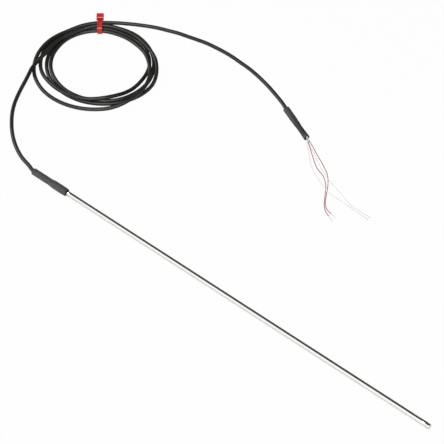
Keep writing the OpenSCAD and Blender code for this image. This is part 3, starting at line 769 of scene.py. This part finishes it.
def twisted_end(name, path):
    """Seven tinned strands, one straight and six laid round it, that loosen slightly at the tip."""
    start, on = path[-1], (path[-1] - path[-2]).normalized()
    side = Vector((0, 0, 1)).cross(on).normalized()
    top = on.cross(side)
    r = STRAND_D / 6
    verts, faces = [], []
    steps, sides = 36, 8
    for strand in range(7):
        base = len(verts)
        phase = 2 * math.pi * strand / 6
        end = STRAND_L * (1 - STRAND_UNEVEN * ((strand * 5) % 7) / 7)
        for i in range(steps + 1):
            u = -STRAND_HIDDEN + (end + STRAND_HIDDEN) * i / steps
            loosen = 1 + STRAND_LOOSENS * max(0, (u / STRAND_L)) ** 3
            out = 0 if strand == 6 else 2 * r * loosen
            a = phase + 2 * math.pi * u / STRAND_LAY
            centre = start + on * u + side * (out * math.cos(a)) + top * (out * math.sin(a))
            for k in range(sides):
                b = 2 * math.pi * k / sides
                skin = centre + side * (r * math.cos(b)) + top * (r * math.sin(b))
                verts.append(tuple(skin * MM))
        for i in range(steps):
            for k in range(sides):
                j = (k + 1) % sides
                row, nxt = base + i * sides, base + (i + 1) * sides
                faces.append((row + k, row + j, nxt + j, nxt + k))
        faces.append(tuple(base + steps * sides + k for k in range(sides)))
    mesh = bpy.data.meshes.new(name)
    mesh.from_pydata(verts, [], faces)
    return link(mesh, name)


wires = []
for name, route, v, w, skin, slot in (
    ("red_wire_1", RED_1_ROUTE, 1, 1, reds, "core_red"),
    ("red_wire_2", RED_2_ROUTE, -1, 1, reds, "core_red"),
    ("white_wire_1", WHITE_1_ROUTE, 1, -1, whites, "core_white"),
    ("white_wire_2", WHITE_2_ROUTE, -1, -1, whites, "core_white"),
):
    earlier = [(other, WIRE_D) for other, _, _ in wires]
    path = wire_path(route, v, w, earlier)
    wire = sweep(name + "_skin", path, round_section(WIRE_D / 2, 14))
    paint(wire, skin)
    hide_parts(name)
    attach(wire, "root")
    end_node = name.replace("wire", "end")
    end = twisted_end(end_node + "_strands", path)
    paint(end, strands)
    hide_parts(end_node)
    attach(end, "root")
    wires.append((path, wire, end))

# ---- Sheath and tip ----

SHEATH_BORE, SHEATH_SIDES, RUN_STEPS = 2.3, 160, 60
BAND_DEPTH = 0.2  # of the band ground into the sheath where the sleeve grips it
BAND_FROM, BAND_TO, STEP_TO = -6.0, 0.4, 0.6  # along, from the sleeve's mouth
SPIGOT_L, SPIGOT_R = 3.0, SHEATH_BORE - 0.05
RIM_ROUND, FACE_BACK = 0.75, 0.3
CRATER_R, DARK_RIM_R, DARK_RIM_TURNS = 0.75, 2.3, (-80, 20)  # of the cap's face, and degrees round it
bright = steel("sheath_steel", (0.95, 0.942, 0.918), 0.13)
weld = steel("weld_steel", (0.24, 0.235, 0.225), 0.3, stretch=(300, 500, 500))
dressed = steel("weld_dressed", (0.94, 0.94, 0.92), 0.16, stretch=(400, 400, 400))
# dark steel for the crater in the middle of the cap's face
crater_dark = steel("weld_crater", (0.1, 0.095, 0.09), 0.5, stretch=(400, 400, 400))


def arc(at, radius, start, end, steps=8):
    """Points (along, radius) of a quarter round about at, from angle start to end in degrees."""
    out = []
    for k in range(steps + 1):
        a = math.radians(start + (end - start) * k / steps)
        out.append((at[0] + radius * math.sin(a), at[1] + radius * math.cos(a)))
    return out


def make_sheath():
    """The drawn tube, and the weld cap that closes it: dressed round, with a small crater."""
    back, front = (corner.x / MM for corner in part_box("sheath"))
    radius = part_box("sheath")[1].y / MM
    band, step = radius - BAND_DEPTH, MOUTH_X + STEP_TO
    grip = [(MOUTH_X + BAND_FROM, band), (MOUTH_X + BAND_TO, band), (step, radius)]
    run = [(step + (front - step) * k / RUN_STEPS, radius) for k in range(1, RUN_STEPS + 1)]
    inside = [(front, SHEATH_BORE), (back, SHEATH_BORE)]
    outline = [(back, SHEATH_BORE), (back, band), *grip, *run, *inside]
    tube = turned("sheath_skin", (0, 0, AXIS_Z), 0, outline, SHEATH_SIDES)

    spigot = [(front - SPIGOT_L, 0.0), (front - SPIGOT_L, SPIGOT_R), (front, SPIGOT_R)]
    bead = [(front, radius), (front + 0.12, radius - 0.07), (front + 0.24, radius)]
    rim = (TIP_X - FACE_BACK - RIM_ROUND, radius - RIM_ROUND)
    face = [
        (TIP_X - FACE_BACK, 2.1), (TIP_X - 0.1, 1.6), (TIP_X, 1.25),
        (TIP_X - 0.05, 1.05), (TIP_X - 0.3, CRATER_R), (TIP_X - 0.38, 0.0),
    ]
    outline = spigot + bead + arc(rim, RIM_ROUND, 0, 90) + face
    tip = turned("end_plug_skin", (0, 0, AXIS_Z), 0, outline, SHEATH_SIDES)
    return tube, tip


def dress_face(tip):
    """The cap is dressed bright, but its rim is dark on one side, and the crater in its middle is
    dark."""
    tip.data.materials.append(dressed.mat)
    tip.data.materials.append(crater_dark.mat)
    for polygon in tip.data.polygons:
        y, z = polygon.center.y / MM, polygon.center.z / MM - AXIS_Z
        out, turn = math.hypot(y, z), math.degrees(math.atan2(z, y))
        # the rim is dark on one side, and the crater in the middle is dark
        dark_side = out > DARK_RIM_R and DARK_RIM_TURNS[0] < turn < DARK_RIM_TURNS[1]
        polygon.material_index = 2 if out < CRATER_R else 0 if dark_side else 1


sheath_skin, tip_skin = make_sheath()
for piece, node, shader, slot in (
    (sheath_skin, "sheath", bright, "sheath_steel"),
    (tip_skin, "end_plug", weld, "weld_steel"),
):
    paint(piece, shader)
    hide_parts(node)
    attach(piece, "root")
dress_face(tip_skin)

# ---- Sleeves ----


def sleeve_wobble(seed, amount):
    """Soft unevenness of tubing that has shrunk over what is inside it."""

    def wobble(u, a):
        p = Vector((u * 0.16, math.cos(a) * 1.3 + seed, math.sin(a) * 1.3))
        ridge = noise.noise(Vector((u * 0.05, math.cos(a) * 3.1 - seed, math.sin(a) * 3.1)))
        return amount * (noise.noise(p) + 0.5 * ridge)

    return wobble


# (along, radius) of the outside of each sleeve, from its cable end
TRANSITION_STATIONS = [
    (0.0, 3.8), (0.25, 4.05), (8.0, 4.05), (13.0, 4.11), (19.1, 4.11), (25.0, 3.95),
    (33.0, 4.7), (47.0, 4.7), (51.7, 4.45), (52.0, 4.2),
]
END_STATIONS = [
    (0.0, 3.75), (0.25, 4.0), (16.0, 3.95), (26.0, 3.75), (35.0, 3.3), (41.0, 3.35), (48.0, 3.5),
    (52.0, 3.65), (53.4, 3.68), (54.0, 3.45),
]


def sleeve(name, at, turn, stations, start_bore, end_bore, seed, amount):
    """Outside of the sleeve with its two cut ends, and its bore as far in as it can be seen."""
    inside = [(8.0, start_bore), (0.6, start_bore), (0.15, start_bore + 0.12)]
    last = stations[-1][0]
    mouth = [(last - 0.1, end_bore + 0.15), (last - 0.6, end_bore), (last - 7.0, end_bore - 0.02)]
    outline = inside + blended(stations) + mouth + inside[:1]
    return turned(name, at, turn, outline, wobble=sleeve_wobble(seed, amount))


transition = sleeve(
    "transition_sleeve_skin", (GLAND_X, 0, AXIS_Z), 0, TRANSITION_STATIONS,
    start_bore=2.38, end_bore=3.0, seed=3.1, amount=0.06,
)
paint(transition, sleeve_skin)
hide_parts("transition_sleeve")
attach(transition, "root")
end_sleeve = sleeve(
    "end_sleeve_skin", (*END_SLEEVE_AT, END_AXIS_Z), END_SLEEVE_TURN, END_STATIONS,
    start_bore=2.38, end_bore=2.5, seed=9.4, amount=0.06,
)
paint(end_sleeve, end_skin)
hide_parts("end_sleeve")
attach(end_sleeve, "root")

# ---- Cable tie ----

TIE_EDGE = 0.00018  # metres
tie_red = nylon("tie_red")
paint(frame["nodes"]["cable_tie"], tie_red)
soft_edges = frame["nodes"]["cable_tie"].modifiers.new("soft edges", "BEVEL")
soft_edges.width = TIE_EDGE
soft_edges.segments = 3
soft_edges.limit_method = "ANGLE"
soft_edges.angle_limit = math.radians(50)

# ---- CAD pieces that stay, and their materials ----

# Colour, roughness, metallic and grain of what is sealed inside
INNER = {
    "mineral_powder": ((0.85, 0.84, 0.8), 0.85, 0.0, 900.0),
    "conductor_metal": ((0.66, 0.64, 0.58), 0.35, 1.0, 1400.0),
    "epoxy": ((0.4, 0.26, 0.1), 0.25, 0.0, 300.0),
    "ceramic": ((0.88, 0.87, 0.84), 0.7, 0.0, 1200.0),
    "platinum": ((0.72, 0.72, 0.7), 0.35, 1.0, 1800.0),
    "glaze": ((0.8, 0.83, 0.76), 0.15, 0.0, 500.0),
    "barrel_copper": ((0.72, 0.7, 0.66), 0.3, 1.0, 900.0),
    "insulator_tube": ((0.72, 0.64, 0.48), 0.45, 0.0, 700.0),
    "adhesive": ((0.16, 0.09, 0.04), 0.3, 0.0, 260.0),
}
shaders = {name: plain_inner(name, *facts) for name, facts in INNER.items()}
shaders.update(
    sheath_steel=bright, weld_steel=weld, core_red=reds, core_white=whites,
    sleeve_grey=sleeve_skin, jacket_black=cable_jacket, tie_red=tie_red, strands_tinned=strands,
)
slot_of = {s["node"]: s["material_slot"] for s in frame["record"]["subparts"]}
for node, obj in frame["nodes"].items():
    paint(obj, shaders[slot_of[node]])
